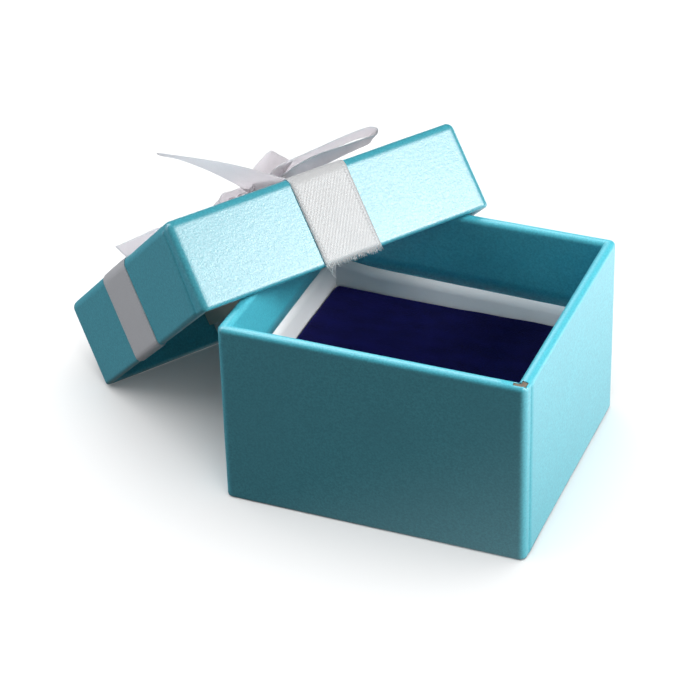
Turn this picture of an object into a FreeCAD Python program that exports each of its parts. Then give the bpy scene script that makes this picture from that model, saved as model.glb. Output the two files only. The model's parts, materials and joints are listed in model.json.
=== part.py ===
import FreeCAD, Part

import math
import os

import Sketcher
from FreeCAD import Placement, Rotation, Vector

# A small two-piece jewelry gift box: an open base with a velvet pad inside, and a lid tied with
# satin ribbon that leans against the base.
#
# Frame of the whole part: the origin is the centre of the base's underside, +Z is up, +X runs
# along the base's front wall and +Y runs from the front wall to the back wall.
#
# The lid is drawn in a frame of its own, standing on its top panel: the origin is the centre of
# the panel's outer face and +Z runs from the panel to the rim. Its placement turns it over.

doc = FreeCAD.newDocument("jewelry_gift_box")

SIZES = {
    # base, outside
    "base_width": 57.0,
    "base_depth": 51.5,
    "base_height": 36.4,
    "base_wall": 2.1,
    "base_corner": 1.0,
    "base_foot": 0.4,
    "base_rim": 0.85,
    # lid, outside
    "lid_width": 62.1,
    "lid_depth": 55.5,
    "lid_height": 17.3,
    "lid_wall": 1.5,
    "lid_corner": 1.2,
    "lid_foot": 1.4,
    "lid_rim": 0.6,
    # the layers a wall is made of, and how far the covering paper is folded in
    "paper": 0.15,
    "glue_line": 0.1,
    "liner": 0.12,
    "base_turn_in": 14.6,
    "lid_turn_in": 12.0,
    "turn_under": 8.0,
    "sheet_inset": 1.5,
    "stay_leg": 9.0,
    "stay_margin": 1.5,
    # velvet pad
    "pad_gap": 0.35,
    "pad_rest": 0.08,
    "pad_top": 17.2,
    "pad_corner": 1.2,
    "pad_edge": 0.9,
    "velvet": 0.6,
    "pad_card": 0.8,
    # ribbon
    "ribbon_width": 12.0,
    "ribbon": 0.25,
    "ribbon_right": 0.6,
    "ribbon_back": 1.6,
    "ribbon_tail": 9.0,
    "ribbon_cut": 0.3,
    "tape": 0.08,
    "tape_length": 7.0,
    "tape_width": 14.0,
    # how the lid leans: angle of its top panel, turn about the vertical, place of the frame
    "lid_lean": 43.15,
    "lid_turn": 55.67,
    "lid_x": -40.45,
    "lid_y": 19.72,
    "lid_z": 31.66,
}


def make_sheet():
    sheet = doc.addObject("Spreadsheet::Sheet", "Sizes")
    for row, (alias, value) in enumerate(SIZES.items(), 1):
        sheet.set(f"A{row}", alias)
        sheet.set(f"B{row}", str(value))
        sheet.setAlias(f"B{row}", alias)
    doc.recompute()
    return sheet


sheet = make_sheet()


def size(expression):
    """Every alias in an expression, written the way another object's property names it."""
    words = expression.replace("(", " ( ").replace(")", " ) ").split()
    return " ".join("Sizes." + word if word in SIZES else word for word in words)


def plane(body, role):
    for feature in body.Origin.OriginFeatures:
        if feature.Role == role:
            return feature


def rectangle(body, name, width, depth, height):
    """A sketch of a rectangle centred on the body's Z axis, at the given height."""
    sketch = body.newObject("Sketcher::SketchObject", name)
    sketch.AttachmentSupport = [(plane(body, "XY_Plane"), "")]
    sketch.MapMode = "FlatFace"
    sketch.setExpression(".AttachmentOffset.Base.z", size(height))
    corners = [Vector(-9, -9, 0), Vector(9, -9, 0), Vector(9, 9, 0), Vector(-9, 9, 0)]
    for start, end in zip(corners, corners[1:] + corners[:1]):
        sketch.addGeometry(Part.LineSegment(start, end), False)
    for line in range(4):
        sketch.addConstraint(Sketcher.Constraint("Coincident", line, 2, (line + 1) % 4, 1))
        direction = "Horizontal" if line % 2 == 0 else "Vertical"
        sketch.addConstraint(Sketcher.Constraint(direction, line))
    sketch.addConstraint(Sketcher.Constraint("Symmetric", 0, 1, 1, 2, -1, 1))
    across = sketch.addConstraint(Sketcher.Constraint("DistanceX", 0, 1, 0, 2, 18))
    along = sketch.addConstraint(Sketcher.Constraint("DistanceY", 1, 1, 1, 2, 18))
    sketch.setExpression(f"Constraints[{across}]", size(width))
    sketch.setExpression(f"Constraints[{along}]", size(depth))
    return sketch


def round_edges(body, name, radius, wanted):
    """Fillet the edges of the body's tip that the test wants."""
    doc.recompute()
    last = body.Tip
    names = [f"Edge{number}" for number, edge in enumerate(last.Shape.Edges, 1) if wanted(edge)]
    fillet = body.newObject("PartDesign::Fillet", name)
    fillet.Base = (last, names)
    fillet.setExpression("Radius", size(radius))


def is_upright(edge):
    box = edge.BoundBox
    return box.ZLength > 0.5 and box.XLength < 0.01 and box.YLength < 0.01


def lies_at(height):
    def wanted(edge):
        return abs(edge.BoundBox.ZMin - height) < 0.001 and abs(edge.BoundBox.ZMax - height) < 0.001
    return wanted


def block(label, width, depth, bottom, top, corner=None, top_edge=None, foot=None):
    """A rectangular block with its upright edges, top edges and bottom edges rounded."""
    body = doc.addObject("PartDesign::Body", label)
    body.Label = label
    outline = rectangle(body, label + "_outline", width, depth, bottom)
    pad = body.newObject("PartDesign::Pad", label + "_pad")
    pad.Profile = outline
    pad.setExpression("Length", size(f"( {top} ) - ( {bottom} )"))
    doc.recompute()
    low, high = pad.Shape.BoundBox.ZMin, pad.Shape.BoundBox.ZMax
    if corner:
        round_edges(body, label + "_corners", corner, is_upright)
    if top_edge:
        round_edges(body, label + "_top_edges", top_edge, lies_at(high))
    if foot:
        round_edges(body, label + "_foot", foot, lies_at(low))
    doc.recompute()
    return body


def tray(label, width, depth, bottom, top, wall, floor, corner, foot, rim):
    """An open tray: a rounded block with a square-cornered hollow and a rounded rim."""
    body = block(label, width, depth, bottom, top, corner=corner, foot=foot)
    solid_volume = body.Shape.Volume
    inside = f"( {width} ) - 2 * ( {wall} )", f"( {depth} ) - 2 * ( {wall} )"
    mouth = rectangle(body, label + "_mouth", inside[0], inside[1], top)
    hollow = body.newObject("PartDesign::Pocket", label + "_hollow")
    hollow.Profile = mouth
    hollow.setExpression("Length", size(f"( {top} ) - ( {bottom} ) - ( {floor} )"))
    doc.recompute()
    if hollow.Shape.Volume > 0.99 * solid_volume:
        raise RuntimeError(f"{label}: its hollow removed nothing")
    round_edges(body, label + "_rim", rim, lies_at(hollow.Shape.BoundBox.ZMax))
    doc.recompute()
    return body


def cut(label, base, tool):
    result = doc.addObject("Part::Cut", label)
    result.Label = label
    result.Base = base
    result.Tool = tool
    doc.recompute()
    return result


def box(label, width, depth, bottom, top):
    """A plain Part box centred on the Z axis."""
    result = doc.addObject("Part::Box", label)
    result.setExpression("Length", size(width))
    result.setExpression("Width", size(depth))
    result.setExpression("Height", size(f"( {top} ) - ( {bottom} )"))
    result.setExpression(".Placement.Base.x", size(f"( {width} ) / -2"))
    result.setExpression(".Placement.Base.y", size(f"( {depth} ) / -2"))
    result.setExpression(".Placement.Base.z", size(bottom))
    return result


def ring(label, width, depth, bottom, top, wall, corner=None, inner_corner=None):
    """A thin upright band: one block cut out of another."""
    outer = block(label + "_outer", width, depth, bottom, top, corner=corner)
    inside = f"( {width} ) - 2 * ( {wall} )", f"( {depth} ) - 2 * ( {wall} )"
    inner = block(label + "_inner", inside[0], inside[1], bottom, top, corner=inner_corner)
    return cut(label, outer, inner)


# The covering paper of both halves is drawn the same way: a tray of the finished size, less a
# core that leaves the paper's thickness outside, over the rim and down the inside of the wall.
# The board tray stands inside that core, a glue line back from the paper.


def paper_cover(label, half, bottom, top, turn_in):
    width, depth = f"{half}_width", f"{half}_depth"
    skin = tray(label + "_skin", width, depth, bottom, top, f"{half}_wall", "paper",
                f"{half}_corner", f"{half}_foot", f"{half}_rim")
    core = tray(label + "_core", f"{width} - 2 * paper", f"{depth} - 2 * paper",
                f"{bottom} + paper", f"{top} - paper", f"{half}_wall - 2 * paper",
                f"( {top} ) - {turn_in} - ( {bottom} ) - paper",
                f"{half}_corner - paper", f"{half}_foot - paper", f"{half}_rim - paper")
    return cut(label, skin, core)


def board_tray(label, half, bottom, top):
    inset = "2 * ( paper + glue_line )"
    board = f"{half}_wall - 2 * paper - glue_line"
    return tray(label, f"{half}_width - {inset}", f"{half}_depth - {inset}",
                f"{bottom} + paper", f"{top} - paper", board, board,
                f"{half}_corner - paper - glue_line", f"{half}_foot - paper",
                f"{half}_rim - paper")


def corner_stays(label, half, bottom, top):
    """Four folded tapes in the glue line, each holding one corner of the board together."""
    width, depth = f"{half}_width - 2 * paper", f"{half}_depth - 2 * paper"
    low, high = f"( {bottom} ) + stay_margin", f"( {top} ) - stay_margin"
    band = ring(label + "_band", width, depth, low, high, "glue_line",
                f"{half}_corner - paper", f"{half}_corner - paper - glue_line")
    middle = doc.addObject("Part::Fuse", label + "_middle")
    middle.Base = box(label + "_wide", f"{half}_width - 2 * stay_leg", depth, low, high)
    middle.Tool = box(label + "_deep", width, f"{half}_depth - 2 * stay_leg", low, high)
    return cut(label, band, middle)


def wall_liner(label, half, bottom, top):
    inset = "2 * ( " + f"{half}_wall - paper" + " )"
    return ring(label, f"{half}_width - {inset}", f"{half}_depth - {inset}", bottom, top, "liner")


def floor_liner(label, half, bottom):
    inset = "2 * ( " + f"{half}_wall - paper" + " )"
    return block(label, f"{half}_width - {inset}", f"{half}_depth - {inset}", bottom,
                 f"{bottom} + liner")


# ------------------------------------------------------------------------------------- base


def make_base():
    # From the table up: the bottom sheet, the folded-under paper, then the board.
    top = "base_height"
    floor = "base_wall - glue_line"
    turn_in_edge = "base_height - base_turn_in"
    cover = paper_cover("base_cover", "base", "paper", top, "base_turn_in")
    window = box("base_window", "base_width - 2 * turn_under", "base_depth - 2 * turn_under",
                 "0", "base_wall")
    return [
        board_tray("base_tray_board", "base", "paper", top),
        corner_stays("base_corner_stays", "base", "2 * paper", top),
        cut("base_wrap_paper", cover, window),
        block("base_bottom_sheet", "base_width - 2 * sheet_inset",
              "base_depth - 2 * sheet_inset", "0", "paper"),
        wall_liner("base_wall_liner", "base", f"{floor} + liner", turn_in_edge),
        floor_liner("base_floor_liner", "base", floor),
    ]


def make_pad():
    width = "base_width - 2 * ( base_wall + pad_gap )"
    depth = "base_depth - 2 * ( base_wall + pad_gap )"
    bottom = "base_wall - glue_line + liner + pad_rest"
    inner_width, inner_depth = f"{width} - 2 * velvet", f"{depth} - 2 * velvet"
    inner_corner, inner_edge = "pad_corner - velvet", "pad_edge - velvet"
    outside = block("pad_outside", width, depth, bottom, "pad_top", "pad_corner", "pad_edge")
    inside = block("pad_inside", inner_width, inner_depth, bottom, "pad_top - velvet",
                   inner_corner, inner_edge)
    return [
        cut("pad_velvet", outside, inside),
        block("pad_foam", inner_width, inner_depth, f"{bottom} + pad_card",
              "pad_top - velvet", inner_corner, inner_edge),
        block("pad_card_base", inner_width, inner_depth, bottom, f"{bottom} + pad_card",
              inner_corner),
    ]


# -------------------------------------------------------------------------------------- lid


def make_lid_shell():
    top = "lid_height"
    panel = "lid_wall - paper - glue_line"
    return [
        board_tray("lid_tray_board", "lid", "0", top),
        corner_stays("lid_corner_stays", "lid", "paper", top),
        paper_cover("lid_wrap_paper", "lid", "0", top, "lid_turn_in"),
        wall_liner("lid_wall_liner", "lid", f"{panel} + liner", "lid_height - lid_turn_in"),
        floor_liner("lid_top_liner", "lid", panel),
    ]


def moved_aside(points, distance):
    """The same path, moved to the left of its own direction in the XZ plane."""
    moved = []
    for number, point in enumerate(points):
        legs = []
        if number > 0:
            legs.append(point - points[number - 1])
        if number < len(points) - 1:
            legs.append(points[number + 1] - point)
        sides = [Vector(-leg.z, 0, leg.x).normalize() for leg in legs]
        middle = sides[0] + sides[-1]
        moved.append(point + middle * (2 * distance / middle.dot(middle)))
    return moved


def rounded_path(points, radii):
    """Straight runs joined by tangent arcs, one radius for each point between the ends."""
    edges = []
    start = points[0]
    for number, radius in enumerate(radii, 1):
        point = points[number]
        back = (points[number - 1] - point).normalize()
        ahead = (points[number + 1] - point).normalize()
        half_angle = back.getAngle(ahead) / 2
        reach = radius / math.tan(half_angle)
        bulge = radius / math.sin(half_angle) - radius
        arc_start, arc_end = point + back * reach, point + ahead * reach
        crown = point + (back + ahead).normalize() * bulge
        edges.append(Part.LineSegment(start, arc_start).toShape())
        edges.append(Part.Arc(arc_start, crown, arc_end).toShape())
        start = arc_end
    edges.append(Part.LineSegment(start, points[-1]).toShape())
    return edges


def ribbon_strip(path, radii, side, width=None):
    """A strip of ribbon that follows a path in the XZ plane and is centred on that plane.

    The path is one face of the strip, and side (1 or -1) is the side its thickness goes to.
    """
    strip_width = width if width else sheet.ribbon_width
    points = [Vector(x, -strip_width / 2, z) for x, z in path]
    thickness = sheet.ribbon * side
    far_points = moved_aside(points, thickness)
    far_radii = []
    for number, radius in enumerate(radii, 1):
        before = points[number] - points[number - 1]
        after = points[number + 1] - points[number]
        turns_left = before.x * after.z - before.z * after.x > 0
        far_radii.append(radius - thickness if turns_left else radius + thickness)
    edges = rounded_path(points, radii) + rounded_path(far_points, far_radii)
    edges.append(Part.LineSegment(points[0], far_points[0]).toShape())
    edges.append(Part.LineSegment(points[-1], far_points[-1]).toShape())
    outline = Part.Wire(Part.__sortEdges__(edges))
    return Part.Face(outline).extrude(Vector(0, strip_width, 0))


def piece(label, shape):
    feature = doc.addObject("Part::Feature", label)
    feature.Label = label
    feature.Shape = shape
    return feature


def turned(shape, angle, offset=Vector(0, 0, 0)):
    """A copy of the shape, turned about Z and then moved."""
    copy = shape.copy()
    copy.Placement = Placement(offset, Rotation(Vector(0, 0, 1), angle)).multiply(shape.Placement)
    return copy


def make_ribbons():
    half_width, half_depth = sheet.lid_width / 2, sheet.lid_depth / 2
    rim, wall, tail = sheet.lid_height, sheet.lid_wall, sheet.lid_height - sheet.ribbon_tail
    # Front to back: cut off at the front rim, folded round the back rim and stuck inside.
    lengthwise = ribbon_strip(
        [(half_depth, rim - sheet.ribbon_cut), (half_depth, 0), (-half_depth, 0),
         (-half_depth, rim), (wall - half_depth, rim), (wall - half_depth, tail)],
        [sheet.lid_foot, sheet.lid_foot, sheet.lid_rim, sheet.lid_rim], 1)
    # Side to side: over the other ribbon in a low hump, folded round both rims.
    lay_gap, hump_top, hump_foot, hump_radius = 0.02, 0.6, 1.6, 1.0
    over = -sheet.ribbon - lay_gap
    left = sheet.ribbon_right - sheet.ribbon_width / 2
    right = sheet.ribbon_right + sheet.ribbon_width / 2
    crosswise = ribbon_strip(
        [(half_width - wall, tail), (half_width - wall, rim), (half_width, rim),
         (half_width, 0), (right + hump_foot, 0), (right + hump_top, over),
         (left - hump_top, over), (left - hump_foot, 0), (-half_width, 0),
         (-half_width, rim), (wall - half_width, rim), (wall - half_width, tail)],
        [sheet.lid_rim, sheet.lid_rim, sheet.lid_foot] + [hump_radius] * 4
        + [sheet.lid_foot, sheet.lid_rim, sheet.lid_rim], 1)
    return [
        piece("ribbon_lengthwise", turned(lengthwise, 90, Vector(sheet.ribbon_right, 0, 0))),
        piece("ribbon_crosswise", turned(crosswise, 0, Vector(0, -sheet.ribbon_back, 0))),
        piece("ribbon_end_tapes", make_tapes()),
    ]


def make_tapes():
    """Three tapes over the ribbon's stuck ends: inside the back, left and right walls."""
    inner_width = sheet.lid_width / 2 - sheet.lid_wall - sheet.ribbon
    inner_depth = sheet.lid_depth / 2 - sheet.lid_wall - sheet.ribbon
    tab = Part.makeBox(sheet.tape, sheet.tape_width, sheet.tape_length,
                       Vector(-sheet.tape, -sheet.tape_width / 2,
                              sheet.lid_height - sheet.ribbon_tail - sheet.tape_length / 4))
    return Part.makeCompound([
        turned(tab, 0, Vector(inner_width, -sheet.ribbon_back, 0)),
        turned(tab, 180, Vector(-inner_width, -sheet.ribbon_back, 0)),
        turned(tab, 270, Vector(sheet.ribbon_right, -inner_depth, 0)),
    ])


def make_bow():
    """The bow: its height is measured outwards from the top panel, its X runs to the right.

    Every strip starts at the side of the knot, so none of them runs through another. Each is drawn
    along +X and then turned to the direction it takes.
    """
    knot_half, knot_half_depth, knot_low, knot_high, knot_edge = 4.0, 5.0, 0.75, 5.4, 1.6
    knot = Part.makeBox(2 * knot_half, 2 * knot_half_depth, knot_high - knot_low,
                        Vector(-knot_half, -knot_half_depth, knot_low))
    knot = knot.makeFillet(knot_edge, knot.Edges)
    dot_radius, dot_height, dot_low = 3.0, 0.2, 0.54
    glue_dot = Part.makeCylinder(dot_radius, dot_height, Vector(0, 0, dot_low))
    root = knot_half + 1.2
    tail_width = 9.0
    # The long loop to the right lies low and turns back on itself at its end.
    right_loop = ribbon_strip(
        [(root, 2.0), (14.0, 5.4), (27.0, 5.9), (28.6, 7.0), (27.0, 8.0), (root, 5.0)],
        [8.0, 0.9, 0.6, 1.4], -1)
    # The small loop stands up from the knot and is creased along its top.
    top_loop = ribbon_strip(
        [(0.4, knot_high + 0.3), (2.2, knot_high + 2.8), (5.2, 10.5), (8.8, 7.2)], [3.0, 0.9], -1)
    # The crumpled loop to the left stays close to the panel.
    left_loop = ribbon_strip(
        [(root, 1.6), (9.0, 1.8), (14.0, 3.0), (14.4, 5.4), (10.0, 5.8), (root, 3.6)],
        [5.0, 1.2, 1.2, 3.0], -1)
    front_tail = ribbon_strip([(8.0, 5.6), (14.0, 7.8), (29.5, 13.8)], [12.0], -1, tail_width)
    left_tail = ribbon_strip([(17.5, 1.4), (23.0, 1.6), (31.0, 3.2)], [14.0], -1, tail_width)
    return [
        bow_piece("bow_knot", knot, 0),
        bow_piece("bow_glue_dot", glue_dot, 0),
        bow_piece("bow_loop_right", right_loop, -8),
        bow_piece("bow_loop_top", top_loop, 0),
        bow_piece("bow_loop_left", left_loop, 164),
        bow_piece("bow_tail_front", front_tail, 222),
        bow_piece("bow_tail_left", left_tail, 174),
    ]


def bow_piece(label, shape, angle):
    """Stand a piece of the bow on the ribbons' crossing, on the outside of the top panel."""
    standing = turned(shape, angle)
    over = Rotation(Vector(1, 0, 0), 180)
    crossing = Vector(sheet.ribbon_right, -sheet.ribbon_back, 0)
    standing.Placement = Placement(crossing, over).multiply(standing.Placement)
    return piece(label, standing)


def lean(feature):
    """Turn a piece of the lid over and lean it on the base, with its back rim on the table."""
    over = Rotation(Vector(1, 0, 0), 180 - sheet.lid_lean)
    about = Rotation(Vector(0, 0, 1), sheet.lid_turn)
    place = Placement(Vector(sheet.lid_x, sheet.lid_y, sheet.lid_z), about.multiply(over))
    feature.Placement = place.multiply(feature.Placement)
    return feature


def check(features):
    for item in doc.Objects:
        if {"Invalid", "Error"} & set(item.State):
            raise RuntimeError(f"{item.Label} did not recompute: {item.State}")
    for feature in features:
        shape = feature.Shape
        if shape.isNull() or not shape.isValid() or not shape.Solids:
            raise RuntimeError(f"{feature.Label} has no valid solid")


def export(features):
    os.makedirs("parts", exist_ok=True)
    for feature in features:
        feature.Shape.exportStep(f"parts/{feature.Label}.step")
        solids = len(feature.Shape.Solids)
        print(f"{feature.Label}: {solids} solid(s), {feature.Shape.Volume:.1f} mm3")


standing_pieces = make_base() + make_pad()
leaning_pieces = [lean(feature) for feature in make_lid_shell() + make_ribbons() + make_bow()]
doc.recompute()
all_pieces = standing_pieces + leaning_pieces
check(all_pieces)
export(all_pieces)
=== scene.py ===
import json
import math
import random

import bmesh
import bpy
import numpy as np
from mathutils import Matrix, Vector, noise


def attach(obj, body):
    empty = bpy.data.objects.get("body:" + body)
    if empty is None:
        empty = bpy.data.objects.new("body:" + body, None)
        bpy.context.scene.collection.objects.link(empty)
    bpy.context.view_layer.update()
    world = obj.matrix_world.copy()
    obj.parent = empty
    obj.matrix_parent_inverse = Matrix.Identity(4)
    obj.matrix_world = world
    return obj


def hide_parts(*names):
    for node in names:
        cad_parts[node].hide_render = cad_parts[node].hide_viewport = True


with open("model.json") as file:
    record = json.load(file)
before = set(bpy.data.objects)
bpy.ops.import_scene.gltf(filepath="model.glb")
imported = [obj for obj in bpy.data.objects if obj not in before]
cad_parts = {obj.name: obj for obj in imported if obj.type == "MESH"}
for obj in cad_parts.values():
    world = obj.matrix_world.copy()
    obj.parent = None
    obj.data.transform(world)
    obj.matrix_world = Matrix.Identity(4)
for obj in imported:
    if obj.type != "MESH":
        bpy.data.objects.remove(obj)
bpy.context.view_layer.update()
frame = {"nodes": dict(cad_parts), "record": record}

# A small jewelry gift box: an open base with a velvet pad, and its ribboned lid, which is tilted
# over the base's back left corner.
# Shapes are drawn in millimetres in the frame of the half they belong to, and put into the
# world, in metres, by that half's matrix. The lid's frame stands on its top panel: +Z runs from
# the panel to the rim, +X to the right and +Y to the rim that stands highest.

MM = 0.001
nodes = frame["nodes"]

# Thicknesses.
PAPER = 0.15
LINER = 0.12
VELVET = 0.5
RIBBON = 0.25
BOW_RIBBON = 0.2

# Radii: over the rim, down the corners, and where the walls meet the underside or the panel.
BASE_RIM, BASE_CORNER, BASE_FOOT = 0.85, 1.3, 0.4
LID_RIM, LID_CORNER, LID_FOOT = 0.6, 1.3, 1.45
PAD_EDGE, PAD_CORNER = 0.8, 1.2

# The covering paper's width under the base, its steps from the rim down inside, and how far it
# stands off the board in patches.
BASE_TURN_UNDER = 8.0
TURN_IN_STEPS = 4
PAPER_DENT, DENT_SIZE = 0.05, 9.0

# The paper's one seam on each half: its height, and the distance over which it settles.
BASE_SEAM_HEIGHT, LID_SEAM_HEIGHT = 0.13, 0.20
SEAM_SETTLES = 7

# The ribbons: from the paper to their middle, their stuck ends' reach inside, and the gap between
# the rim and the cut end.
RIBBON_RAISE = 0.17
RIBBON_TUCK = 9.0
RIBBON_CUT = 0.1

# Satin: radians per millimetre of the threads, the twill and the stitches along the selvedges.
WARP, TWILL_ACROSS, TWILL_ALONG, STITCH = 26.0, 17.0, 6.0, 11.0

# The camera's line of sight in the bow's frame.
SIGHT = Vector((0.439, 0.886, 0.145)).normalized()


# ------------------------------------------------------------------------- frames and sizes


def corners_of(node, matrix):
    """Lowest and highest corner of a CAD node, in millimetres, in the matrix's frame."""
    to_local = matrix.inverted()
    points = np.array([to_local @ v.co for v in nodes[node].data.vertices])
    return Vector(points.min(0)), Vector(points.max(0))


def find_lid_matrix():
    """The lid's frame, from its top liner, a sharp-edged block that lies flat on the panel."""
    points = np.array([v.co for v in nodes["lid_top_liner"].data.vertices], float)
    points = np.unique(points.round(7), axis=0)
    centre = points.mean(0)
    _, axes = np.linalg.eigh((points - centre).T @ (points - centre))
    along_x = Vector(axes[:, 2]) if axes[1, 2] > 0 else -Vector(axes[:, 2])
    along_y = Vector(axes[:, 1]) if axes[2, 1] > 0 else -Vector(axes[:, 1])
    along_z = along_x.cross(along_y)
    turn = Matrix((along_x, along_y, along_z)).transposed().to_4x4()
    matrix = Matrix.Translation(Vector(centre)) @ turn @ Matrix.Scale(MM, 4)
    low, _ = corners_of("lid_wrap_paper", matrix)
    return matrix @ Matrix.Translation((0, 0, low.z))


BASE = Matrix.Scale(MM, 4)
LID = find_lid_matrix()

base_low, base_high = corners_of("base_wrap_paper", BASE)
liner_low, liner_high = corners_of("base_wall_liner", BASE)
base_wall = base_high.x - liner_high.x + PAPER
base_turn_in = base_high.z - liner_high.z

_, lid_high = corners_of("lid_wrap_paper", LID)
_, lid_liner_high = corners_of("lid_wall_liner", LID)
lid_wall = lid_high.x - lid_liner_high.x + PAPER
lid_turn_in = lid_high.z - lid_liner_high.z
lid_height = lid_high.z
lid_half_x, lid_half_y = lid_high.x, lid_high.y

lengthwise_low, lengthwise_high = corners_of("ribbon_lengthwise", LID)
crosswise_low, crosswise_high = corners_of("ribbon_crosswise", LID)
ribbon_width = lengthwise_high.x - lengthwise_low.x
ribbon_right = (lengthwise_high.x + lengthwise_low.x) / 2
ribbon_back = (crosswise_high.y + crosswise_low.y) / 2

# The bow's frame: origin at the ribbons' crossing, +Z outwards from the panel, +Y to the back.
CROSSING = Matrix.Translation((ribbon_right, ribbon_back, 0))
BOW = LID @ CROSSING @ Matrix.Rotation(math.pi, 4, "X")


# --------------------------------------------------------------------------------- meshes


def add_object(name, mesh, material, body, replaces=()):
    piece = bpy.data.objects.new(name, mesh)
    bpy.context.scene.collection.objects.link(piece)
    mesh.materials.append(material)
    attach(piece, body)
    if replaces:
        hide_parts(*replaces)
    return piece


def mesh_from(name, points, faces, matrix):
    mesh = bpy.data.meshes.new(name)
    mesh.from_pydata([matrix @ Vector(p) for p in points], [], faces)
    bm = bmesh.new()
    bm.from_mesh(mesh)
    bmesh.ops.recalc_face_normals(bm, faces=bm.faces)
    bm.to_mesh(mesh)
    bm.free()
    mesh.polygons.foreach_set("use_smooth", [True] * len(mesh.polygons))
    return mesh


def apply_modifiers(piece):
    graph = bpy.context.evaluated_depsgraph_get()
    made = bpy.data.meshes.new_from_object(piece.evaluated_get(graph))
    piece.modifiers.clear()
    piece.data = made


def spread(start, end, steps):
    """Even steps from start to end, both included."""
    return [start + (end - start) * i / steps for i in range(steps + 1)]


def ring(half_x, half_y, radius, z, side_steps, arc_steps, seam=None):
    """Points round a rounded rectangle, from the start of the -Y side and anticlockwise.

    seam is (side, distance): two more columns stand close to each other at that distance from
    the side's start.
    """
    support, step_width, clear = 0.5, 0.07, 1.4
    points = []
    for side in range(4):
        half_along, half_out = (half_x, half_y) if side % 2 == 0 else (half_y, half_x)
        length = 2 * (half_along - radius)
        near = [support]
        if seam and seam[0] == side:
            near = [seam[1] - step_width, seam[1], seam[1] + step_width]
        stops = [0] + near + spread(near[-1] + clear, length - clear, side_steps)
        stops += [length - support, length]
        along = Vector((math.cos(side * math.pi / 2), math.sin(side * math.pi / 2)))
        out = Vector((along.y, -along.x))
        start = out * half_out - along * (half_along - radius)
        for stop in stops:
            points.append((*(start + along * stop), z))
        centre = start + along * length - out * radius
        for step in range(1, arc_steps):
            angle = step / arc_steps * math.pi / 2
            spoke = out * math.cos(angle) + along * math.sin(angle)
            points.append((*(centre + spoke * radius), z))
    return points


def arc(centre, radius, start, end, steps):
    """Points on an arc between two angles in degrees."""
    angles = [math.radians(a) for a in spread(start, end, steps)]
    return [(centre[0] + radius * math.cos(a), centre[1] + radius * math.sin(a)) for a in angles]


def skin(half_x, half_y, profile, corner, seam=None, side_steps=20, arc_steps=6, cap=False):
    """A skin swept round a rounded rectangle. The profile is a list of (inset, z)."""
    least_radius = 0.12
    rings = []
    for inset, z in profile:
        radius = max(corner - inset, least_radius)
        at = (seam[0], seam[1](z)) if seam else None
        rings.append(ring(half_x - inset, half_y - inset, radius, z, side_steps, arc_steps, at))
    count = len(rings[0])
    points = [p for one in rings for p in one]
    faces = []
    for row in range(len(rings) - 1):
        for i in range(count):
            j = (i + 1) % count
            this, following = row * count, (row + 1) * count
            faces.append((this + i, this + j, following + j, following + i))
    if cap:
        last = (len(rings) - 1) * count
        faces.append(tuple(range(last, last + count)))
    return points, faces


def dent(mesh, matrix, depth):
    """Push every vertex outwards by a smooth random amount, as paper lies on board."""
    to_local = matrix.inverted()
    offset = Vector((17.3, 5.1, 9.7))
    for vertex in mesh.vertices:
        place = to_local @ vertex.co
        amount = 0.5 + 0.5 * noise.noise(place / DENT_SIZE + offset)
        vertex.co += vertex.normal * amount * depth * MM


def paper_piece(name, node, matrix, body, points, faces, depth=PAPER_DENT,
                slot="pearl_paper", thickness=PAPER):
    """A paper skin: the seen side is drawn, and its thickness goes the other way."""
    mesh = mesh_from(name, points, faces, matrix)
    dent(mesh, matrix, depth)
    piece = add_object(name, mesh, FINISHES[slot], body, [node])
    solid = piece.modifiers.new("thickness", "SOLIDIFY")
    solid.thickness = thickness * MM
    solid.offset = -1
    solid.use_even_offset = False
    apply_modifiers(piece)
    return piece


def spline(points, count):
    """Evenly spaced points on a smooth curve through the given ones."""
    steps_between = 24
    stops = [Vector(p) for p in points]
    stops = [2 * stops[0] - stops[1]] + stops + [2 * stops[-1] - stops[-2]]
    fine = []
    for index in range(1, len(stops) - 2):
        a, b, c, d = stops[index - 1:index + 3]
        for t in spread(0, 1, steps_between)[:-1]:
            fine.append(0.5 * (2 * b + (c - a) * t + (2 * a - 5 * b + 4 * c - d) * t * t
                               + (3 * b - a - 3 * c + d) * t ** 3))
    fine.append(stops[-2])
    return evenly(fine, count)


def evenly(line, count):
    """Points spaced evenly along a polyline."""
    lengths = np.cumsum([0] + [(b - a).length for a, b in zip(line, line[1:])])
    coords = np.array([list(p) for p in line])
    wanted = np.linspace(0, lengths[-1], count)
    columns = [np.interp(wanted, lengths, coords[:, k]) for k in range(coords.shape[1])]
    return [Vector(p) for p in np.stack(columns, 1)]


def path_length(line):
    return sum((b - a).length for a, b in zip(line, line[1:]))


def rounded(points, radii, steps=8):
    """A polyline in a plane with its inner points rounded."""
    line = [Vector(points[0])]
    for number, radius in enumerate(radii, 1):
        point = Vector(points[number])
        back = (Vector(points[number - 1]) - point).normalized()
        ahead = (Vector(points[number + 1]) - point).normalized()
        half = back.angle(ahead) / 2
        centre = point + (back + ahead).normalized() * radius / math.sin(half)
        start = point + back * radius / math.tan(half) - centre
        end = point + ahead * radius / math.tan(half) - centre
        turn = start.angle_signed(end)
        for step in range(steps + 1):
            line.append(centre + Matrix.Rotation(-turn * step / steps, 2) @ start)
    line.append(Vector(points[-1]))
    return line


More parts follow.
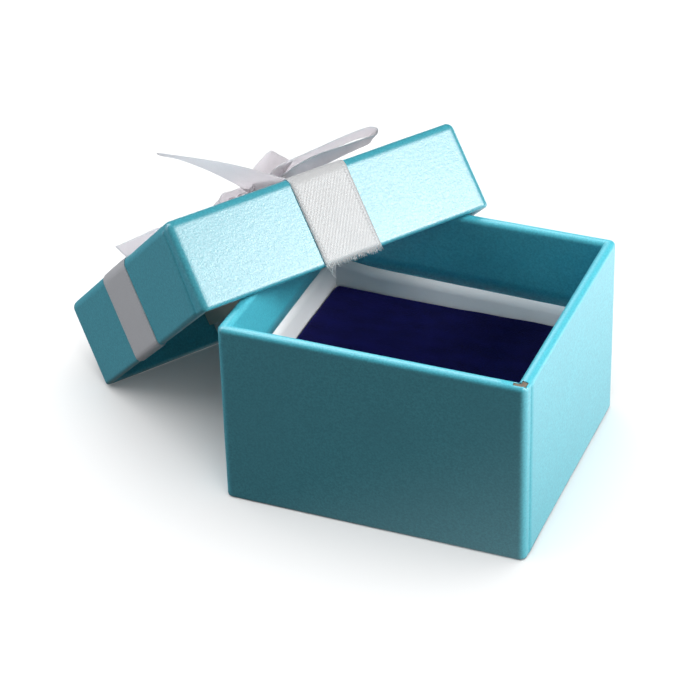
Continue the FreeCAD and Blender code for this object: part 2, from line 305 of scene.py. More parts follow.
def strip_mesh(name, left, right, matrix, thickness=RIBBON, wrinkle=0.0, wrinkle_size=3.0, pleats=0,
               pleat_depth=0.0, seed=0, through=0.0):
    """A strip of satin ribbon between two edge lines, thicker along its selvedges.

    The point attribute strip_mm holds each point's place across and along the strip, in
    millimetres, and the share of light that passes through.
    """
    across_steps = 22
    bead_place, bead_width, bead_height = 0.965, 0.03, 0.45
    edge_place, edge_thinning = 0.995, 0.4
    rows = len(left)
    grid = np.array([[list(a.lerp(b, j / across_steps)) for j in range(across_steps + 1)]
                     for a, b in zip(left, right)])
    along = np.gradient(grid, axis=0)
    across = np.gradient(grid, axis=1)
    normal = np.cross(across, along)
    normal /= np.maximum(np.linalg.norm(normal, axis=2, keepdims=True), 1e-9)
    steps = np.linalg.norm(np.diff(grid[:, across_steps // 2], axis=0), axis=1)
    run = np.concatenate([[0], np.cumsum(steps)])
    points, strip = [], []
    for side in (1, -1):
        for i in range(rows):
            for j in range(across_steps + 1):
                share = j / across_steps
                u = (share - 0.5) * ribbon_width
                edge = abs(share - 0.5) * 2
                bead = 1 + bead_height * math.exp(-((edge - bead_place) / bead_width) ** 2)
                bead -= edge_thinning * (edge > edge_place)
                place = Vector((u, run[i] * 0.6, seed * 7.7)) / wrinkle_size
                crease = wrinkle * noise.noise(place)
                crease += pleat_depth * math.sin(pleats * math.pi * share + 0.15 * run[i])
                if pleats == 0:
                    crease *= math.sin(math.pi * min(1, 3 * share, 3 * (1 - share)) / 2)
                offset = crease + side * thickness / 2 * bead
                points.append(grid[i, j] + normal[i, j] * offset)
                strip.append((u, run[i], through))
    width = across_steps + 1
    half = rows * width
    faces = []
    for i in range(rows - 1):
        for j in range(across_steps):
            a = i * width + j
            faces.append((a, a + 1, a + width + 1, a + width))
            faces.append((half + a, half + a + width, half + a + width + 1, half + a + 1))
    rim = list(range(width))
    rim += [i * width + width - 1 for i in range(1, rows)]
    rim += [(rows - 1) * width + j for j in range(width - 2, -1, -1)]
    rim += [i * width for i in range(rows - 2, 0, -1)]
    for a, b in zip(rim, rim[1:] + rim[:1]):
        faces.append((a, b, half + b, half + a))
    mesh = mesh_from(name, points, faces, matrix)
    attribute = mesh.attributes.new("strip_mm", "FLOAT_VECTOR", "POINT")
    attribute.data.foreach_set("vector", np.array(strip).ravel())
    return mesh


def thread(points, radius):
    """Vertices and faces of one thin tapering thread along a list of points."""
    sides = 5
    verts, faces = [], []
    for number, point in enumerate(points):
        after = points[min(number + 1, len(points) - 1)]
        ahead = (after - points[max(number - 1, 0)]).normalized()
        one = ahead.orthogonal().normalized()
        two = ahead.cross(one)
        size = radius * (1 - 0.5 * number / (len(points) - 1))
        for side in range(sides):
            angle = 2 * math.pi * side / sides
            verts.append(point + (one * math.cos(angle) + two * math.sin(angle)) * size)
    for number in range(len(points) - 1):
        for side in range(sides):
            a, b = number * sides + side, number * sides + (side + 1) % sides
            faces.append((a, b, b + sides, a + sides))
    faces.append(tuple(range(sides)))
    faces.append(tuple((len(points) - 1) * sides + side for side in range(sides)))
    return verts, faces


def threads_mesh(name, lines, matrix):
    """A mesh of threads, from pairs of a line of points and a radius."""
    points, faces = [], []
    for line, radius in lines:
        verts, loops = thread(line, radius)
        faces += [tuple(len(points) + i for i in loop) for loop in loops]
        points += verts
    return mesh_from(name, points, faces, matrix)


# ------------------------------------------------------------------------------- materials


class Finish:
    """A material made of nodes, with short calls for the ones used here."""

    def __init__(self, name, colour, roughness, **constants):
        self.material = bpy.data.materials.new(name)
        self.material.use_nodes = True
        self.tree = self.material.node_tree
        self.shader = self.tree.nodes["Principled BSDF"]
        self.shader.inputs["Base Color"].default_value = (*colour, 1)
        self.shader.inputs["Roughness"].default_value = roughness
        for key, value in constants.items():
            socket = self.shader.inputs[key.replace("_", " ")]
            socket.default_value = (*value, 1) if isinstance(value, tuple) else value
        self.place = self.tree.nodes.new("ShaderNodeTexCoord").outputs["Object"]

    def link(self, source, target):
        self.tree.links.new(source, target)

    def noise(self, size_mm, detail=2.0, stretch=None):
        """Smooth noise whose patches are about size_mm across."""
        node = self.tree.nodes.new("ShaderNodeTexNoise")
        node.inputs["Scale"].default_value = 1 / (size_mm * MM)
        node.inputs["Detail"].default_value = detail
        source = self.place
        if stretch:
            mapping = self.tree.nodes.new("ShaderNodeMapping")
            mapping.inputs["Scale"].default_value = stretch
            self.link(source, mapping.inputs["Vector"])
            source = mapping.outputs["Vector"]
        self.link(source, node.inputs["Vector"])
        return node.outputs["Fac"]

    def cells(self, size_mm):
        node = self.tree.nodes.new("ShaderNodeTexVoronoi")
        node.inputs["Scale"].default_value = 1 / (size_mm * MM)
        self.link(self.place, node.inputs["Vector"])
        return node

    def math(self, operation, first, second=0.0, third=None):
        node = self.tree.nodes.new("ShaderNodeMath")
        node.operation = operation
        for index, value in enumerate((first, second, third)):
            if value is None:
                continue
            if isinstance(value, (int, float)):
                node.inputs[index].default_value = value
            else:
                self.link(value, node.inputs[index])
        return node.outputs[0]

    def rescale(self, source, low, high, to_low, to_high):
        node = self.tree.nodes.new("ShaderNodeMapRange")
        self.link(source, node.inputs["Value"])
        limits = {"From Min": low, "From Max": high, "To Min": to_low, "To Max": to_high}
        for name, value in limits.items():
            node.inputs[name].default_value = value
        return node.outputs["Result"]

    def mix(self, share, first, second):
        node = self.tree.nodes.new("ShaderNodeMix")
        node.data_type = "RGBA"
        self.link(share, node.inputs["Factor"])
        for name, value in (("A", first), ("B", second)):
            socket = [s for s in node.inputs if s.name == name and s.type == "RGBA"][0]
            if isinstance(value, tuple):
                socket.default_value = (*value, 1)
            else:
                self.link(value, socket)
        return [s for s in node.outputs if s.type == "RGBA"][0]

    def bump(self, height, depth_mm, strength=1.0, under=None):
        node = self.tree.nodes.new("ShaderNodeBump")
        node.inputs["Distance"].default_value = depth_mm * MM
        node.inputs["Strength"].default_value = strength
        self.link(height, node.inputs["Height"])
        if under is not None:
            self.link(under, node.inputs["Normal"])
        return node.outputs["Normal"]

    def set(self, name, source):
        self.link(source, self.shader.inputs[name])


def pearl_paper():
    """Pearlescent covering paper: teal, with a fine flaky grain and a white lustre."""
    f = Finish("pearl_paper", (0.09, 0.61, 0.74), 0.36, IOR=1.70, Specular_IOR_Level=0.92)
    grain = f.noise(0.35, 3)
    flakes = f.noise(0.16, 1)
    clouds = f.noise(14, 3)
    fibres = f.noise(1.4, 2, (1, 1, 3))
    tone = f.mix(f.rescale(grain, 0.3, 0.7, 0, 1), (0.06, 0.51, 0.64), (0.12, 0.70, 0.83))
    tone = f.mix(f.rescale(clouds, 0.35, 0.7, 0, 0.35), tone, (0.09, 0.55, 0.68))
    f.set("Base Color", tone)
    f.set("Roughness", f.rescale(flakes, 0.3, 0.7, 0.32, 0.42))
    low = f.bump(fibres, 0.03, 0.6)
    f.set("Normal", f.bump(grain, 0.03, 0.6, low))
    return f.material


def greyboard():
    f = Finish("greyboard", (0.36, 0.27, 0.20), 0.9)
    grain = f.noise(0.5, 4)
    f.set("Base Color", f.mix(grain, (0.26, 0.19, 0.14), (0.48, 0.37, 0.28)))
    f.set("Normal", f.bump(grain, 0.08))
    return f.material


def kraft_tape():
    f = Finish("kraft_tape", (0.50, 0.36, 0.22), 0.7)
    fibres = f.noise(0.6, 4, (1, 1, 4))
    f.set("Base Color", f.mix(fibres, (0.42, 0.29, 0.17), (0.58, 0.43, 0.28)))
    f.set("Normal", f.bump(fibres, 0.03))
    return f.material


def white_liner():
    f = Finish("white_liner", (0.80, 0.80, 0.78), 0.75)
    grain = f.noise(0.4, 3)
    clouds = f.noise(9, 2)
    f.set("Base Color", f.mix(clouds, (0.84, 0.84, 0.84), (0.90, 0.90, 0.89)))
    f.set("Normal", f.bump(grain, 0.03, 0.6))
    return f.material


def navy_velvet():
    """Short pile: dark from above, lighter where it is seen along the pile, with a little lint."""
    f = Finish("navy_velvet", (0.006, 0.006, 0.04), 0.9, Specular_IOR_Level=0.1,
               Sheen_Weight=0.4, Sheen_Roughness=0.45, Sheen_Tint=(0.08, 0.08, 0.70))
    pile = f.noise(0.25, 2)
    nap = f.noise(6, 2, (1, 2, 1))
    lint_cells = f.cells(3.2)
    chosen = f.math("GREATER_THAN", lint_cells.outputs["Color"], 0.80)
    speck = f.math("LESS_THAN", lint_cells.outputs["Distance"], 0.035)
    tone = f.mix(f.rescale(nap, 0.3, 0.7, 0, 1), (0.002, 0.002, 0.022), (0.004, 0.004, 0.055))
    tone = f.mix(f.rescale(pile, 0.45, 0.75, 0, 0.6), tone, (0.008, 0.008, 0.100))
    f.set("Base Color", f.mix(f.math("MULTIPLY", chosen, speck), tone, (0.10, 0.10, 0.20)))
    f.set("Normal", f.bump(pile, 0.12))
    return f.material


def foam():
    f = Finish("foam", (0.05, 0.05, 0.06), 0.95)
    cells = f.cells(0.5)
    f.set("Base Color", f.mix(cells.outputs["Distance"], (0.02, 0.02, 0.025), (0.09, 0.09, 0.10)))
    f.set("Normal", f.bump(cells.outputs["Distance"], 0.15))
    return f.material


def satin_ribbon():
    """Satin: threads along the ribbon, stitched selvedges, and light through the free strips."""
    f = Finish("satin_ribbon", (0.90, 0.90, 0.91), 0.38, Specular_IOR_Level=1.0,
               Sheen_Weight=0.35, Sheen_Roughness=0.4, IOR=1.6)
    place = f.tree.nodes.new("ShaderNodeAttribute")
    place.attribute_name = "strip_mm"
    split = f.tree.nodes.new("ShaderNodeSeparateXYZ")
    f.link(place.outputs["Vector"], split.inputs[0])
    across, along, through_share = split.outputs["X"], split.outputs["Y"], split.outputs["Z"]
    warp = f.math("SINE", f.math("MULTIPLY", across, WARP))
    slant = f.math("ADD", f.math("MULTIPLY", across, TWILL_ACROSS),
                   f.math("MULTIPLY", along, TWILL_ALONG))
    twill = f.math("SINE", slant)
    uneven = f.noise(0.4, 3)
    edge = f.math("ABSOLUTE", across)
    stitch_line = f.math("COMPARE", edge, ribbon_width / 2 - 0.7, 0.16)
    stitch = f.math("MULTIPLY", f.math("SINE", f.math("MULTIPLY", along, STITCH)), stitch_line)
    weave = f.math("ADD", f.math("MULTIPLY", warp, 0.22), f.math("MULTIPLY", twill, 0.16))
    weave = f.math("ADD", weave, f.math("MULTIPLY", stitch, 0.8))
    weave = f.math("ADD", weave, uneven)
    light = f.rescale(weave, -0.1, 1.1, 0, 1)
    f.set("Base Color", f.mix(light, (0.84, 0.84, 0.85), (0.99, 0.99, 0.98)))
    f.set("Normal", f.bump(weave, 0.05, 0.8))
    through = f.tree.nodes.new("ShaderNodeBsdfTranslucent")
    through.inputs["Color"].default_value = (0.93, 0.90, 0.92, 1)
    both = f.tree.nodes.new("ShaderNodeMixShader")
    f.link(through_share, both.inputs["Fac"])
    f.link(f.shader.outputs[0], both.inputs[1])
    f.link(through.outputs[0], both.inputs[2])
    f.link(both.outputs[0], f.tree.nodes["Material Output"].inputs["Surface"])
    return f.material


def clear_tape():
    f = Finish("clear_tape", (0.80, 0.77, 0.68), 0.25, Specular_IOR_Level=0.5)
    streaks = f.noise(2.0, 2, (1, 1, 6))
    f.set("Base Color", f.mix(streaks, (0.74, 0.71, 0.62), (0.84, 0.81, 0.73)))
    f.set("Normal", f.bump(streaks, 0.02))
    return f.material


def hot_glue():
    f = Finish("hot_glue", (0.80, 0.76, 0.66), 0.3, Subsurface_Weight=0.2)
    blobs = f.noise(1.5, 2)
    f.set("Base Color", f.mix(blobs, (0.74, 0.70, 0.60), (0.86, 0.83, 0.74)))
    f.set("Normal", f.bump(blobs, 0.1))
    return f.material


FINISHES = {
    "pearl_paper": pearl_paper(), "greyboard": greyboard(), "kraft_tape": kraft_tape(),
    "white_liner": white_liner(), "navy_velvet": navy_velvet(), "foam": foam(),
    "satin_ribbon": satin_ribbon(), "clear_tape": clear_tape(), "hot_glue": hot_glue(),
}

for part in frame["record"]["subparts"]:
    mesh = nodes[part["node"]].data
    mesh.materials.clear()
    mesh.materials.append(FINISHES[part["material_slot"]])


# ------------------------------------------------------------------------------ the papers


def cover_profile(height, wall, foot, rim, turn_in, flap=None, cap_steps=None):
    """From the underside or the panel, round the foot, up the wall, over the rim and inside.

    flap is the width of paper under the base. The lid has cap_steps over its panel instead.
    """
    low = base_low.z if flap else 0.0
    support, clear = 0.35, 1.5
    under = [(flap, low), (flap / 2, low), (foot + support, low)] if flap else cap_steps
    line = list(under)
    line += arc((foot, low + foot), foot, 270, 180, 5)
    line += [(0, low + foot + support)]
    line += [(0, z) for z in spread(low + foot + clear, height - rim - clear, 10)]
    line += [(0, height - rim - support)]
    line += arc((rim, height - rim), rim, 180, 90, 5)
    line += arc((wall - rim, height - rim), rim, 90, 0, 5)
    line += [(wall, height - rim - support)]
    line += [(wall, z) for z in spread(height - rim - clear, height - turn_in, TURN_IN_STEPS)]
    return line


def base_seam(z):
    """Distance of the seam from the start of the base's right side. It runs a little aslant."""
    return 0.95 + 0.1 * z / base_high.z


def lid_seam(z):
    """Distance of the seam from the start of the lid's left side."""
    return 0.25 + 1.5 * z / lid_height


def turn_in_depth(x, y):
    """How far the covering paper comes down inside: it was cut and folded by hand, so it varies."""
    left_depth, back_depth, back_rise, back_run, elsewhere = 11.2, 14.85, 0.5, 17, 0.3
    left = max(0.0, -x / base_high.x) ** 8
    back = max(0.0, y / base_high.y) ** 8
    slope = back_depth + back_rise * x / back_run
    depths = slope * back + left_depth * left + elsewhere * base_turn_in
    return depths / (back + left + elsewhere)


def in_corner_gap(point):
    """At the front right corner the folded paper stops short on the rim, and the board shows."""
    rim_depth, gap_start, gap_end, fold_width = 0.4, 0.3, 2.5, 0.7
    along, across = base_high.x - point.x, base_high.y + point.y
    on_rim = point.z > base_high.z - rim_depth and fold_width < across < base_wall + 0.1
    return on_rim and gap_start < along < gap_end


def raise_seam(points, half_x, half_along, sign, seam, height):
    """The paper that overlaps at a seam stands out by its thickness, and settles further on.

    sign is 1 for a seam on the +X side, and -1 for one on the -X side.
    """
    raised = []
    for x, y, z in points:
        beyond = (y * sign + half_along) - seam(z)
        if x * sign > half_x - 0.01 and beyond > 0.03:
            x += sign * height * math.exp(-beyond / SEAM_SETTLES)
        raised.append((x, y, z))
    return raised


def make_base_paper():
    half_x, half_y = base_high.x, base_high.y
    profile = cover_profile(base_high.z, base_wall, BASE_FOOT, BASE_RIM, base_turn_in,
                            flap=BASE_TURN_UNDER)
    points, faces = skin(half_x, half_y, profile, BASE_CORNER, (1, base_seam))
    points = raise_seam(points, half_x, half_y - BASE_CORNER, 1, base_seam, BASE_SEAM_HEIGHT)
    count = len(points) // len(profile)
    for number in range(len(points) - TURN_IN_STEPS * count, len(points)):
        x, y, z = points[number]
        share = turn_in_depth(x, y) / base_turn_in
        points[number] = (x, y, base_high.z - (base_high.z - z) * share)
    centres = [sum((Vector(points[i]) for i in face), Vector()) / len(face) for face in faces]
    faces = [face for face, centre in zip(faces, centres) if not in_corner_gap(centre)]
    return paper_piece("base_wrap", "base_wrap_paper", BASE, "base", points, faces)


def make_wall_liner():
    """The white paper on the walls. Its top follows the covering paper's edge, a little below."""
    inset = base_high.x - liner_high.x + LINER
    gap = 0.05
    profile = [(inset, z) for z in spread(liner_low.z, liner_high.z, 8)]
    points, faces = skin(base_high.x, base_high.y, profile, BASE_CORNER, arc_steps=4)
    span = liner_high.z - liner_low.z
    raised = []
    for x, y, z in points:
        top = base_high.z - turn_in_depth(x, y) - gap
        raised.append((x, y, liner_low.z + (z - liner_low.z) / span * (top - liner_low.z)))
    flipped = [face[::-1] for face in faces]
    return paper_piece("base_liner", "base_wall_liner", BASE, "base", raised, flipped, depth=0.0,
                       slot="white_liner", thickness=LINER)


def make_lid_paper():
    panel = [(inset, 0.0) for inset in (26.4, 24, 20, 16, 12, 8, 5, 3, LID_FOOT + 0.4)]
    profile = cover_profile(lid_height, lid_wall, LID_FOOT, LID_RIM, lid_turn_in, cap_steps=panel)
    points, faces = skin(lid_half_x, lid_half_y, profile, LID_CORNER, (3, lid_seam))
    count = len(points) // len(profile)
    faces.append(tuple(range(count)))
    points = raise_seam(points, lid_half_x, lid_half_y - LID_CORNER, -1, lid_seam, LID_SEAM_HEIGHT)
    paper_piece("lid_wrap", "lid_wrap_paper", LID, "lid", points, faces)


base_wrap = make_base_paper()
wall_liner = make_wall_liner()
make_lid_paper()


# --------------------------------------------------------------------------- the velvet pad


def make_pad():
    """A velvet cover drawn over the foam, a little higher at the left and lower at the back."""
    low, high = corners_of("pad_velvet", BASE)
    half_x, half_y = high.x, high.y
    left_rise, back_drop = 0.15, 0.35
    pull_depth, pull_size = 0.15, 9.0
    rough_depth, rough_size, smooth_inset, rough_fades = 0.14, 6.0, 19, 6
    tuck_place, tuck_width = 14, 9
    insets = (1.4, 2.2, 3.2, 4.5, 6.5, 9, 12, 15, 18, 20)
    profile = [(0.25, low.z), (0.1, low.z + 1)]
    profile += [(0, z) for z in spread(low.z + 2, high.z - PAD_EDGE - 0.6, 5)]
    profile += arc((PAD_EDGE, high.z - PAD_EDGE), PAD_EDGE, 180, 90, 6)
    profile += [(inset, high.z) for inset in insets]
    points, faces = skin(half_x, half_y, profile, PAD_CORNER, side_steps=26, cap=True)
    shaped = []
    for x, y, z in points:
        share = (z - low.z) / (high.z - low.z)
        place = Vector((x, y, z))
        left = max(0, -x / half_x) ** 2
        tuck = 0.85 * math.exp(-((x - tuck_place) / tuck_width) ** 2)
        back = max(0, y / half_y) ** 4 * (1 - tuck)
        pull = pull_depth * noise.noise(place / pull_size) * share
        nearness = max(abs(x) - half_x, abs(y) - half_y) + smooth_inset
        rough = rough_depth * min(1, max(0, nearness / rough_fades))
        bumps = rough * noise.noise(place / rough_size + Vector((3, 1, 4)))
        z += share ** 3 * (left_rise * left - back_drop * back + bumps)
        shaped.append((x * (1 + pull / half_x), y * (1 + pull / half_y), z))
    mesh = mesh_from("pad", shaped, faces, BASE)
    piece = add_object("pad_cover", mesh, FINISHES["navy_velvet"], "pad",
                       ["pad_velvet"])
    solid = piece.modifiers.new("thickness", "SOLIDIFY")
    solid.thickness = VELVET * MM
    solid.offset = -1
    apply_modifiers(piece)


make_pad()


# ------------------------------------------------------------------------------ the ribbons


def wrapped_path(half, start_open):
    """Mid line of a ribbon round the lid, as (place along, z) in the lid's frame, and its radii.

    With start_open the ribbon is cut off at the first rim. Else it is folded and stuck inside.
    """
    out = RIBBON_RAISE
    foot, rim = LID_FOOT + out, LID_RIM + out
    inner = half - lid_wall - out
    tail = lid_height - RIBBON_TUCK
    far = [(-half - out, lid_height + out), (-inner, lid_height + out), (-inner, tail)]
    near = [(inner, tail), (inner, lid_height + out), (half + out, lid_height + out)]
    if start_open:
        near = [(half + out, lid_height - RIBBON_CUT)]
    corners = [(half + out, -out), (-half - out, -out)]
    radii = ([] if start_open else [rim, rim]) + [foot, foot, rim, rim]
    return near + corners + far, radii


def lay_ribbon(name, node, points, radii, rows, to_point, seed=0):
    """A ribbon that lies on the lid along a rounded path, and its length.

    to_point turns (across, place along, z) into a point of the lid's frame.
    """
    line = evenly(rounded(points, radii), rows)
    left = [Vector(to_point(-ribbon_width / 2, a, z)) for a, z in line]
    right = [Vector(to_point(ribbon_width / 2, a, z)) for a, z in line]
    mesh = strip_mesh(name, left, right, LID, wrinkle=0.05, wrinkle_size=4, seed=seed)
    piece = add_object(name, mesh, FINISHES["satin_ribbon"], "lid", [node])
    return piece, path_length(line)


def make_lengthwise():
    points, radii = wrapped_path(lid_half_y, True)
    return lay_ribbon("ribbon_long", "ribbon_lengthwise", points, radii, 150,
                      lambda u, a, z: (ribbon_right + u, a, z))


def make_crosswise():
    """The second ribbon, with a hump where it crosses the first."""
    points, radii = wrapped_path(lid_half_x, False)
    lift, flat_past, slope_past = RIBBON + 0.05, 0.5, 1.6
    hump_left, hump_right = ribbon_right - ribbon_width / 2, ribbon_right + ribbon_width / 2
    hump = [(hump_right + slope_past, -RIBBON_RAISE),
            (hump_right + flat_past, -RIBBON_RAISE - lift),
            (hump_left - flat_past, -RIBBON_RAISE - lift),
            (hump_left - slope_past, -RIBBON_RAISE)]
    points = points[:4] + hump + points[4:]
    radii = radii[:3] + [1.0] * 4 + radii[3:]
    return lay_ribbon("ribbon_cross", "ribbon_crosswise", points, radii, 160,
                      lambda u, a, z: (a, ribbon_back + u, z), seed=2)


def make_fringe(name, starts, direction, length, matrix, seed):
    """Short threads that stick out of a cut end."""
    rng = random.Random(seed)
    radius, root = 0.055, 0.15
    lines = []
    for start in starts:
        splay = Vector([rng.uniform(-1, 1) for _ in range(3)]) * 0.35
        reach = length * rng.uniform(0.5, 1.0)
        one = start + (direction + splay * 0.5).normalized() * reach * 0.5
        two = one + (direction + splay).normalized() * reach * 0.5
        lines.append(([start - direction * root, one, two], radius))
    mesh = threads_mesh(name, lines, matrix)
    return add_object(name, mesh, FINISHES["satin_ribbon"], "lid")


def make_loose_threads():
    """The few long threads that hang from the frayed end."""
    left = ribbon_right - ribbon_width / 2
    out = lid_half_y + RIBBON_RAISE
    rim = lid_height - 0.2
    lines = [
        ([(left + 0.3, out, rim), (left + 0.9, out - 0.1, lid_height + 0.8),
          (left + 0.7, out - 0.5, lid_height + 1.7), (left + 1.3, out - 0.7, lid_height + 2.6)],
         0.10),
        ([(left + 0.6, out, rim), (left + 0.4, out - 0.2, lid_height + 0.9),
          (left + 1.1, out - 0.3, lid_height + 1.8), (left + 1.0, out - 0.6, lid_height + 2.3)],
         0.07),
        ([(left + 1.4, out, rim), (left + 1.1, out + 0.1, lid_height + 0.7),
          (left + 1.5, out - 0.1, lid_height + 1.3)], 0.06),
    ]
    smooth = [(spline(line, 12), radius) for line, radius in lines]
    mesh = threads_mesh("loose", smooth, LID)
    return add_object("ribbon_loose_threads", mesh, FINISHES["satin_ribbon"], "lid")


ribbon_long, long_length = make_lengthwise()
ribbon_cross, cross_length = make_crosswise()
fringe_start = ribbon_right - ribbon_width / 2 + 0.1
fringe_end = ribbon_right + ribbon_width / 2 - 0.1
front_edge = [Vector((x, lid_half_y + RIBBON_RAISE, lid_height - RIBBON_CUT))
              for x in spread(fringe_start, fringe_end, 110)]
front_fringe = make_fringe("ribbon_front_fringe", front_edge, Vector((0, -0.1, 1)), 1.2, LID, 3)
loose_threads = make_loose_threads()


# ---------------------------------------------------------------------------------- the bow


def bow_strip(name, left, right, rows, replaces, slant=0.0, through=0.55, **folds):
    """A free strip between two edges. slant, how far its cut end would lean along the strip in mm,
    is not used.
    """
    one, two = spline(left, rows), spline(right, rows)
    mesh = strip_mesh(name, one, two, BOW, thickness=BOW_RIBBON, through=through, **folds)
    piece = add_object(name, mesh, FINISHES["satin_ribbon"], "lid", replaces)
    return piece


def full_width(left, right, shares):
    """Move both edges along the line of sight, to a share of the ribbon's width apart."""
    far, near = [], []
    for a, b, share in zip(left, right, shares):
        a, b = Vector(a), Vector(b)
        gap, wanted = b - a, ribbon_width * share
        lean = gap.dot(SIGHT)
        root = math.sqrt(max(0.0, lean * lean - gap.length_squared + wanted * wanted))
        move = max(0.0, lean + root)
        far.append(a + SIGHT * move / 2)
        near.append(b - SIGHT * move / 2)
    return far, near


def make_bow():
    """The bow's six strips, each between its front and back edge in the bow's frame."""
    right_loop = bow_strip(
        "bow_right_loop",
        [(3.2, -2.5, 5.4), (4.7, -6, 6.5), (7.4, -7, 6.8), (12.8, -8.5, 7.0), (17.9, -9.3, 7.3),
         (22.6, -10, 7.4), (24.8, -10, 7.25), (26.2, -9.9, 6.5), (25.7, -9.6, 5.6), (24, -9.6, 5.6),
         (17.4, -9, 5.7), (12.4, -8, 5.9), (8, -6.5, 5.4), (5.5, -3, 4.6)],
        [(4.0, 5, 4.4), (6.6, 4.5, 5.4), (12.5, 3.6, 6.2), (17, 3, 6.9), (21.5, 2.3, 7.6),
         (26.5, 1.8, 7.9), (29.4, 1.8, 7.7), (30.4, 1.9, 7.0), (29.8, 2, 6.3), (26.7, 2.5, 6.1),
         (21, 3, 5.6), (14, 3.6, 4.7), (8, 4.6, 2.9), (6.0, 5.2, 2.2)],
        120, ["bow_loop_right"], wrinkle=0.12, wrinkle_size=6)
    top_loop = bow_strip(
        "bow_top_loop",
        [(0.1, -3.6, 4.8), (0.2, -4.4, 6.6), (0.9, -5, 8.0), (3.2, -5.6, 9.2), (5.2, -6, 9.9),
         (6.6, -6, 8.6), (7.9, -6, 7.2), (8.6, -6, 6.6)],
        [(2.0, 6.6, 3.2), (2.4, 6.6, 4.0), (3.2, 6.4, 4.9), (4.4, 5.8, 5.8), (5.6, 5.2, 6.4),
         (6.8, 5.0, 6.4), (8.2, 5.0, 5.8), (9.2, 5.0, 5.2)],
        60, ["bow_loop_top"], wrinkle=0.05, seed=4)
    left_loop = bow_strip(
        "bow_left_loop",
        [(1.0, 0, 5.6), (-0.7, 0, 6.1), (-2.5, 0, 6.1), (-4.75, 0, 6.2), (-5.9, 0, 5.0),
         (-5.2, 0, 3.4), (-1, 0, 1.8)],
        [(1.5, 11, 3.8), (-0.5, 11.6, 4.2), (-2.5, 11.8, 4.3), (-5.0, 11.8, 4.0),
         (-6.0, 11.8, 3.2), (-5.6, 11.6, 2.4), (-1, 11, 1.4)],
        70, ["bow_loop_left"], wrinkle=0.45, wrinkle_size=2.5, seed=6)
    lower = [(4.0, 1.0, 1.6), (1.2, 0.0, 3.6), (-1.2, -2.0, 5.0), (-3.6, -5, 5.9),
             (-6.8, -9, 6.6), (-12.9, -14.5, 9.0), (-18.9, -18.5, 11.6), (-23.0, -19.4, 13.5)]
    upper = [(11.0, -2.5, 1.6), (8.0, -4.0, 3.4), (4.25, -6, 4.7), (-1.9, -11, 6.4),
             (-7.8, -15, 8.1), (-12.0, -17.2, 9.4), (-17.4, -18.9, 11.4), (-23.1, -19.5, 13.95)]
    gathered_to_cut = (0.75, 0.8, 0.9, 1, 1, 1, 0.6, 0.05)
    lower, upper = full_width(lower, upper, gathered_to_cut)
    front_tail = bow_strip("bow_front_tail", lower, upper, 80, ["bow_tail_front"], slant=14,
                           wrinkle=0.12, seed=8)
    left_tail = bow_strip(
        "bow_left_tail",
        [(-4, -5, 2.6), (-12, -5.5, 2.4), (-21.6, -5, 3.3), (-26.4, -4.5, 3.1), (-30.7, -3, 3.0)],
        [(-4, 6, 2.2), (-12, 6.4, 1.6), (-18, 6.5, 1.5), (-22, 6.4, 1.8), (-25.6, 6, 2.1)],
        60, ["bow_tail_left"], wrinkle=0.15, wrinkle_size=5, seed=9)
    band = [(3.4, 0.85), (-0.2, 1.0), (-1.6, 2.2), (-1.4, 3.7), (0.2, 4.5), (2.0, 4.7), (3.8, 4.1),
            (4.8, 2.7), (4.4, 1.2), (3.0, 0.75)]
    knot_left, knot_right = -3.0, 4.6
    knot = bow_strip("bow_centre_knot", [(knot_left, y, z) for y, z in band],
                     [(knot_right, y, z) for y, z in band], 70, ["bow_knot"], pleats=7,
                     pleat_depth=0.45)
    return [right_loop, top_loop, left_loop, front_tail, left_tail, knot]


bow = make_bow()


# ------------------------------------------------------------------- floor, camera and light


def make_floor():
    """White to the camera, dull otherwise, and glowing to glossy rays: a painted reflection."""
    mesh = bpy.data.meshes.new("floor")
    reach, level = 3.0, -0.00002
    ramp_start, ramp_end, weakest, strongest = -0.05, 0.15, 0.14, 2.1
    dullness = (0.07, 0.07, 0.07, 1)
    mesh.from_pydata([(-reach, -reach, level), (reach, -reach, level), (reach, reach, level),
                      (-reach, reach, level)], [], [(0, 1, 2, 3)])
    floor = bpy.data.objects.new("floor", mesh)
    bpy.context.scene.collection.objects.link(floor)
    f = Finish("floor", (0.9, 0.9, 0.9), 0.9, Specular_IOR_Level=0.0)
    dull = f.tree.nodes.new("ShaderNodeBsdfDiffuse")
    dull.inputs["Color"].default_value = dullness
    # To glossy rays the floor glows, stronger towards the back right: a painted reflection in the
    # paper.
    painted_reflection_glow = f.tree.nodes.new("ShaderNodeEmission")
    painted_reflection_glow.inputs["Color"].default_value = (1, 1, 1, 1)
    split = f.tree.nodes.new("ShaderNodeSeparateXYZ")
    f.link(f.place, split.inputs[0])
    towards_back_right = f.math("ADD", split.outputs["X"], split.outputs["Y"])
    ramp = f.rescale(towards_back_right, ramp_start, ramp_end, weakest, strongest)
    f.link(ramp, painted_reflection_glow.inputs["Strength"])
    path = f.tree.nodes.new("ShaderNodeLightPath")
    unseen = f.tree.nodes.new("ShaderNodeMixShader")
    f.link(path.outputs["Is Glossy Ray"], unseen.inputs["Fac"])
    f.link(dull.outputs[0], unseen.inputs[1])
    f.link(painted_reflection_glow.outputs[0], unseen.inputs[2])
    choice = f.tree.nodes.new("ShaderNodeMixShader")
    f.link(path.outputs["Is Camera Ray"], choice.inputs["Fac"])
    f.link(unseen.outputs[0], choice.inputs[1])
    f.link(f.shader.outputs[0], choice.inputs[2])
    f.link(choice.outputs[0], f.tree.nodes["Material Output"].inputs["Surface"])
    mesh.materials.append(f.material)
    return floor


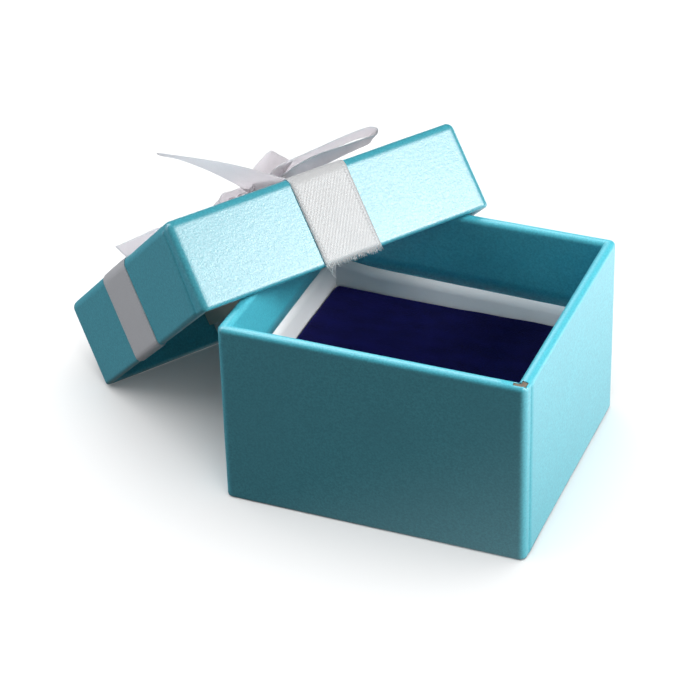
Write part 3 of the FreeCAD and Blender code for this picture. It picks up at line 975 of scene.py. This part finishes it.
def make_camera():
    """Azimuth 0 looks along +Y, from the front."""
    azimuth, elevation, roll = math.radians(22.72), math.radians(33.42), math.radians(-1.77)
    back = Vector((math.sin(azimuth) * math.cos(elevation),
                   -math.cos(azimuth) * math.cos(elevation), math.sin(elevation)))
    camera = bpy.data.objects.new("camera", bpy.data.cameras.new("camera"))
    bpy.context.scene.collection.objects.link(camera)
    camera.data.sensor_width = 36
    camera.data.lens = 137.99
    camera.data.clip_start = 0.01
    camera.location = (0.144386, -0.378327, 0.289621)
    camera.rotation_mode = "QUATERNION"
    rolled = Matrix.Rotation(roll, 3, "Z").to_quaternion()
    camera.rotation_quaternion = back.to_track_quat("Z", "Y") @ rolled
    bpy.context.scene.camera = camera


def make_light(name, azimuth, elevation, distance, size, watts, colour, pieces, lit):
    """A square lamp that looks at the box. At azimuth 0 it stands at +X, and at 90 at +Y.

    With lit, the lamp lights only these pieces; without it, all but these.
    """
    azimuth, elevation = math.radians(azimuth), math.radians(elevation)
    towards = Vector((math.cos(azimuth) * math.cos(elevation),
                      math.sin(azimuth) * math.cos(elevation), math.sin(elevation)))
    aim = Vector((0, 0, 0.02))
    lamp = bpy.data.lights.new(name, "AREA")
    lamp.size, lamp.energy, lamp.color = size, watts, colour
    light = bpy.data.objects.new(name, lamp)
    bpy.context.scene.collection.objects.link(light)
    light.location = towards * distance + aim
    light.rotation_mode = "QUATERNION"
    light.rotation_quaternion = towards.to_track_quat("Z", "Y")
    receivers = bpy.data.collections.new(name + "_receivers")
    for number, piece in enumerate(pieces):
        receivers.objects.link(piece)
        linking = receivers.collection_objects[number].light_linking
        linking.link_state = "INCLUDE" if lit else "EXCLUDE"
    light.light_linking.receiver_collection = receivers


def make_world():
    world = bpy.data.worlds.new("world")
    bpy.context.scene.world = world
    world.use_nodes = True
    background = world.node_tree.nodes["Background"]
    background.inputs["Color"].default_value = (0.92, 0.96, 1.0, 1)
    background.inputs["Strength"].default_value = 0.03


floor = make_floor()
make_camera()
make_world()

# Name, azimuth, elevation, distance and size in metres, watts, colour, pieces, and whether the
# lamp lights only those pieces.
make_light("key", 4, 40, 0.7, 0.20, 2.65, (1, 1, 1), [floor], False)
make_light("right_low", 0, 12, 0.7, 0.3, 0.9, (1, 1, 1), [floor], False)
make_light("right_high", 5, 48, 0.7, 0.3, 2.2, (1, 1, 1), [base_wrap, wall_liner], True)
make_light("front_fill", 285, 25, 0.7, 0.4, 0.15, (0.9, 1, 1), [floor], False)
make_light("left_fill", 200, 15, 0.7, 0.4, 0.8, (0.85, 0.87, 1), [floor], False)
make_light("left_high", 180, 50, 0.7, 0.4, 2.0, (0.95, 0.97, 1), [floor], False)
make_light("back", 125, 45, 0.7, 0.4, 1.4, (1, 1, 1), [base_wrap], True)
make_light("behind_bow", 130, 40, 0.7, 0.4, 5.0, (1, 1, 1), bow, True)
make_light("before_bow", 290, 5, 0.7, 0.4, 3.0, (0.84, 0.96, 1), bow, True)
make_light("inside", 270, 50, 0.7, 0.3, 1.2, (0.88, 0.94, 1), [wall_liner], True)
make_light("floor_light", 90, 83, 0.6, 1.4, 11.5, (1, 1, 1), [floor], True)
make_light("floor_front", 290, 40, 0.7, 0.6, 2.0, (1, 1, 1), [floor], True)
bpy.context.scene.view_settings.view_transform = "Standard"
